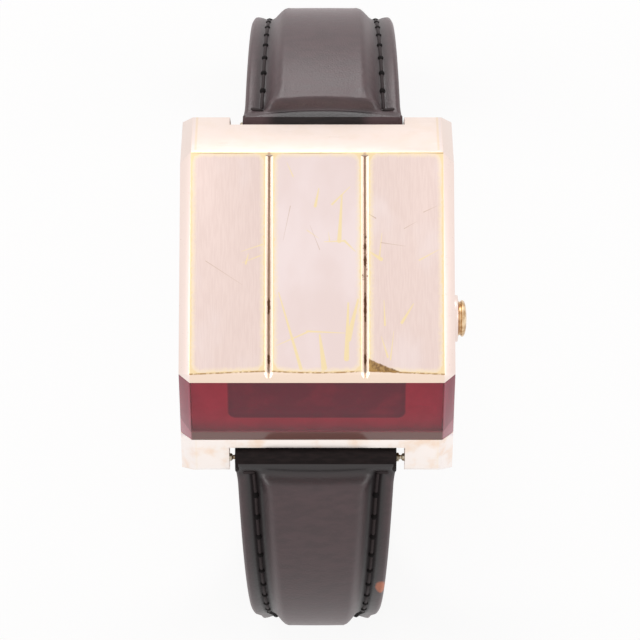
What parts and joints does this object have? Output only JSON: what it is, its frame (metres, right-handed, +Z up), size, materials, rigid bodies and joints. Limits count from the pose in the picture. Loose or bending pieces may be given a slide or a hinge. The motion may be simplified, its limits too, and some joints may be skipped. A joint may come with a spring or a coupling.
{
  "type": "led watch",
  "caption": "Driver's wristwatch with a wedge-shaped gold case, a sloping red display window, a side button and a padded leather strap with a pin buckle, open.",
  "frame": {"origin": "on the surface that the open strap stands on, midway between the outermost points on each side", "axes": "+Z up out of the case's top face side, +Y from the display towards the twelve o'clock end, +X to the button side"},
  "size_m": [0.0322, 0.0776, 0.0703],
  "materials": {
    "gold_case": "pale gold plate, vertically brushed, worn yellow at its edges",
    "gold_button": "polished yellow gold plate",
    "gold_buckle": "polished gold plate",
    "red_lens": "clear deep red, polished",
    "seal": "matt",
    "dark_plastic": "matt",
    "digits": "unlit red segments",
    "board": "epoxy board",
    "chip": "moulded",
    "steel": "fine brushed",
    "cell": "plain drawn can",
    "contact": "thin spring strip",
    "leather": "smooth, waxed, dark brown, stitched in dark thread",
    "lining": "plain tan lining",
    "filler": "felted pad"
  },
  "bodies": {
    "case": {"case_shell": "gold_case", "lens": "red_lens", "lens_seal": "seal", "display_board": "board", "led_digits": "digits", "display_mask": "dark_plastic", "case_back": "steel", "back_gasket": "seal", "back_screws": "steel", "module_frame": "dark_plastic", "battery_left": "cell", "battery_right": "cell", "battery_contacts": "contact", "circuit_board": "board", "board_posts": "dark_plastic", "controller_chip": "chip", "quartz_can": "cell", "trimmer": "contact", "switch_blade": "contact", "button_seal": "seal", "button_collar": "gold_case", "button_spring": "steel", "upper_bar": "steel", "lower_bar": "steel"},
    "button": {"button_cap": "gold_button", "button_clip": "steel"},
    "upper_strap": {"upper_leather": "leather", "upper_filler": "filler", "upper_lining": "lining", "fixed_keeper": "leather"},
    "lower_strap": {"lower_leather": "leather", "lower_filler": "filler", "lower_lining": "lining"},
    "buckle": {"buckle_frame": "gold_buckle", "buckle_bar": "steel"},
    "tang": {"buckle_tang": "gold_buckle"},
    "free_keeper": {"free_keeper": "leather"},
    "upper_left_tip": {"upper_left_tip": "steel"},
    "upper_right_tip": {"upper_right_tip": "steel"},
    "lower_left_tip": {"lower_left_tip": "steel"},
    "lower_right_tip": {"lower_right_tip": "steel"}
  },
  "joints": [
    {"name": "button_press", "type": "slide", "parent": "case", "child": "button", "axis": [-1, 0, 0], "range_m": [0, 0.0006], "stiffness_N_per_m": 500, "deforming": ["button_spring"]},
    {"name": "upper_strap_swing", "type": "hinge", "parent": "case", "child": "upper_strap", "pos_m": [0, 0.01788, 0.0597], "axis": [1, 0, 0], "range_deg": [-3, 60]},
    {"name": "lower_strap_swing", "type": "hinge", "parent": "case", "child": "lower_strap", "pos_m": [0, -0.01992, 0.0597], "axis": [-1, 0, 0], "range_deg": [-3, 60]},
    {"name": "buckle_swing", "type": "hinge", "parent": "upper_strap", "child": "buckle", "pos_m": [0.00001, 0.019, 0.0013], "axis": [-1, 0, 0], "range_deg": [0, 100]},
    {"name": "tang_swing", "type": "hinge", "parent": "buckle", "child": "tang", "pos_m": [0.00001, 0.019, 0.0013], "axis": [1, 0, 0], "range_deg": [0, 110]},
    {"name": "free_keeper_slide", "type": "slide", "parent": "upper_strap", "child": "free_keeper", "axis": [0, 0, 1], "range_m": [0, 0.008]},
    {"name": "upper_left_tip_push", "type": "slide", "parent": "case", "child": "upper_left_tip", "axis": [1, 0, 0], "range_m": [0, 0.0009], "stiffness_N_per_m": 300},
    {"name": "upper_right_tip_push", "type": "slide", "parent": "case", "child": "upper_right_tip", "axis": [-1, 0, 0], "range_m": [0, 0.0009], "stiffness_N_per_m": 300},
    {"name": "lower_left_tip_push", "type": "slide", "parent": "case", "child": "lower_left_tip", "axis": [1, 0, 0], "range_m": [0, 0.0009], "stiffness_N_per_m": 300},
    {"name": "lower_right_tip_push", "type": "slide", "parent": "case", "child": "lower_right_tip", "axis": [-1, 0, 0], "range_m": [0, 0.0009], "stiffness_N_per_m": 300}
  ]
}
